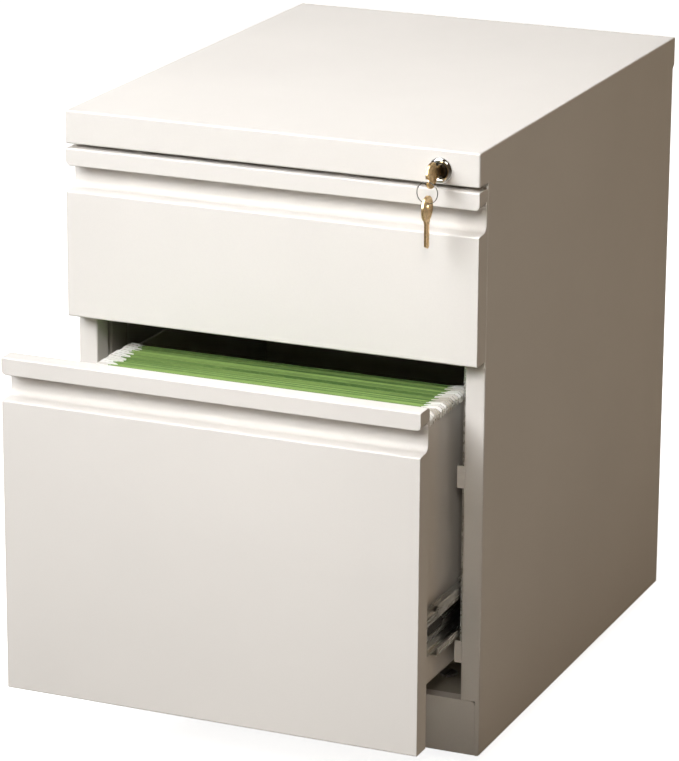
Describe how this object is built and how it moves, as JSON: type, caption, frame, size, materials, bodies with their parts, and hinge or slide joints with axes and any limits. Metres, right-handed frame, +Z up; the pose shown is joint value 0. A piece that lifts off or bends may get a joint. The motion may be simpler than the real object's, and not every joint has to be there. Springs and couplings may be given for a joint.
{
  "type": "metal filing cabinet",
  "caption": "Low steel filing pedestal with a box drawer over a deep file drawer, full-width recessed pulls, a keyed lock in the top apron and hidden casters.",
  "frame": {"origin": "on the floor, at the middle of the rectangle that the pedestal covers with its file drawer pulled out 124 mm, the rest pose; the case's own front plane is at y = -0.1905", "axes": "+X to the right of someone facing the drawers, +Y from the drawers to the back, +Z up"},
  "size_m": [0.381, 0.629, 0.552],
  "materials": {
    "powder_coat": "fine-texture satin powder coat, off-white",
    "inside_coat": "thin powder coat inside the case",
    "zinc_steel": "zinc-plated steel",
    "chrome": "bright chrome plate",
    "key_brass": "stamped brass, lightly worn",
    "wheel_plastic": "black nylon",
    "folder_card": "green pressed card"
  },
  "bodies": {
    "case": {"top_panel": "powder_coat", "side_panel_left": "powder_coat", "side_panel_right": "powder_coat", "back_panel": "powder_coat", "base_rail": "powder_coat", "bottom_pan": "inside_coat", "front_stile_left": "powder_coat", "front_stile_right": "powder_coat", "front_upright_left": "inside_coat", "front_upright_right": "inside_coat", "rear_upright_left": "inside_coat", "rear_upright_right": "inside_coat", "file_slide_outer_left": "zinc_steel", "file_slide_outer_right": "zinc_steel", "box_slide_outer_left": "zinc_steel", "box_slide_outer_right": "zinc_steel", "lock_housing": "chrome", "lock_nut": "zinc_steel"},
    "box_drawer": {"box_front": "powder_coat", "box_front_liner": "powder_coat", "box_side_left": "powder_coat", "box_side_right": "powder_coat", "box_bottom": "powder_coat", "box_back": "powder_coat", "box_lock_catch": "zinc_steel", "box_slide_inner_left": "zinc_steel", "box_slide_inner_right": "zinc_steel"},
    "file_drawer": {"file_front": "powder_coat", "file_front_liner": "powder_coat", "file_side_left": "powder_coat", "file_side_right": "powder_coat", "file_bottom": "powder_coat", "file_back": "powder_coat", "file_lock_catch": "zinc_steel", "file_slide_inner_left": "zinc_steel", "file_slide_inner_right": "zinc_steel"},
    "file_slide_middles": {"file_slide_middle_left": "zinc_steel", "file_slide_middle_right": "zinc_steel"},
    "file_outer_cages": {"file_outer_cage_left": "zinc_steel", "file_outer_cage_right": "zinc_steel"},
    "file_inner_cages": {"file_inner_cage_left": "zinc_steel", "file_inner_cage_right": "zinc_steel"},
    "folder_row": {"hanging_folders": "folder_card"},
    "lock_plug": {"lock_plug": "chrome", "lock_cam": "zinc_steel", "key_in_lock": "key_brass"},
    "lock_bar": {"lock_bar": "zinc_steel"},
    "key_ring": {"key_ring": "zinc_steel"},
    "spare_key": {"spare_key": "key_brass"},
    "caster_front_left": {"caster_fork_front_left": "zinc_steel"},
    "wheel_front_left": {"caster_wheel_front_left": "wheel_plastic"},
    "caster_front_right": {"caster_fork_front_right": "zinc_steel"},
    "wheel_front_right": {"caster_wheel_front_right": "wheel_plastic"},
    "caster_rear_left": {"caster_fork_rear_left": "zinc_steel"},
    "wheel_rear_left": {"caster_wheel_rear_left": "wheel_plastic"},
    "caster_rear_right": {"caster_fork_rear_right": "zinc_steel"},
    "wheel_rear_right": {"caster_wheel_rear_right": "wheel_plastic"}
  },
  "joints": [
    {"name": "box_drawer_slide", "type": "slide", "parent": "case", "child": "box_drawer", "axis": [0, -1, 0], "range_m": [0, 0.36]},
    {"name": "file_drawer_slide", "type": "slide", "parent": "case", "child": "file_drawer", "axis": [0, -1, 0], "range_m": [-0.124, 0.326]},
    {"name": "file_middles_slide", "type": "slide", "parent": "case", "child": "file_slide_middles", "axis": [0, -1, 0], "range_m": [-0.062, 0.163]},
    {"name": "file_outer_cages_slide", "type": "slide", "parent": "case", "child": "file_outer_cages", "axis": [0, -1, 0], "range_m": [-0.031, 0.0815]},
    {"name": "file_inner_cages_slide", "type": "slide", "parent": "case", "child": "file_inner_cages", "axis": [0, -1, 0], "range_m": [-0.093, 0.2445]},
    {"name": "folder_row_slide", "type": "slide", "parent": "file_drawer", "child": "folder_row", "axis": [0, 1, 0], "range_m": [0, 0.27]},
    {"name": "lock_turn", "type": "hinge", "parent": "case", "child": "lock_plug", "pos_m": [0.1555, -0.1905, 0.5345], "axis": [0, -1, 0], "range_deg": [0, 90]},
    {"name": "lock_bar_lift", "type": "slide", "parent": "case", "child": "lock_bar", "axis": [0, 0, 1], "range_m": [0, 0.018]},
    {"name": "key_ring_swing", "type": "hinge", "parent": "lock_plug", "child": "key_ring", "pos_m": [0.1555, -0.2192, 0.5311], "axis": [-1, 0, 0], "range_deg": [0, 40]},
    {"name": "spare_key_hang", "type": "hinge", "parent": "key_ring", "child": "spare_key", "pos_m": [0.1555, -0.2192, 0.5219], "axis": [0, -1, 0], "range_deg": [-90, 0]},
    {"name": "caster_swivel_front_left", "type": "hinge", "parent": "case", "child": "caster_front_left", "pos_m": [-0.1405, -0.116, 0.05], "axis": [0, 0, 1], "continuous": true},
    {"name": "caster_roll_front_left", "type": "hinge", "parent": "caster_front_left", "child": "wheel_front_left", "pos_m": [-0.1405, -0.098, 0.02], "axis": [1, 0, 0], "continuous": true},
    {"name": "caster_swivel_front_right", "type": "hinge", "parent": "case", "child": "caster_front_right", "pos_m": [0.1405, -0.116, 0.05], "axis": [0, 0, 1], "continuous": true},
    {"name": "caster_roll_front_right", "type": "hinge", "parent": "caster_front_right", "child": "wheel_front_right", "pos_m": [0.1405, -0.098, 0.02], "axis": [1, 0, 0], "continuous": true},
    {"name": "caster_swivel_rear_left", "type": "hinge", "parent": "case", "child": "caster_rear_left", "pos_m": [-0.1405, 0.2605, 0.05], "axis": [0, 0, 1], "continuous": true},
    {"name": "caster_roll_rear_left", "type": "hinge", "parent": "caster_rear_left", "child": "wheel_rear_left", "pos_m": [-0.1405, 0.2785, 0.02], "axis": [1, 0, 0], "continuous": true},
    {"name": "caster_swivel_rear_right", "type": "hinge", "parent": "case", "child": "caster_rear_right", "pos_m": [0.1405, 0.2605, 0.05], "axis": [0, 0, 1], "continuous": true},
    {"name": "caster_roll_rear_right", "type": "hinge", "parent": "caster_rear_right", "child": "wheel_rear_right", "pos_m": [0.1405, 0.2785, 0.02], "axis": [1, 0, 0], "continuous": true}
  ],
  "couplings": [
    {"joint": "file_middles_slide", "follows": "file_drawer_slide", "ratio": 0.5},
    {"joint": "file_outer_cages_slide", "follows": "file_drawer_slide", "ratio": 0.25},
    {"joint": "file_inner_cages_slide", "follows": "file_drawer_slide", "ratio": 0.75},
    {"joint": "lock_bar_lift", "follows": "lock_turn", "m_per_rad": 0.010185},
    {"joint": "spare_key_hang", "follows": "lock_turn", "ratio": -1}
  ]
}
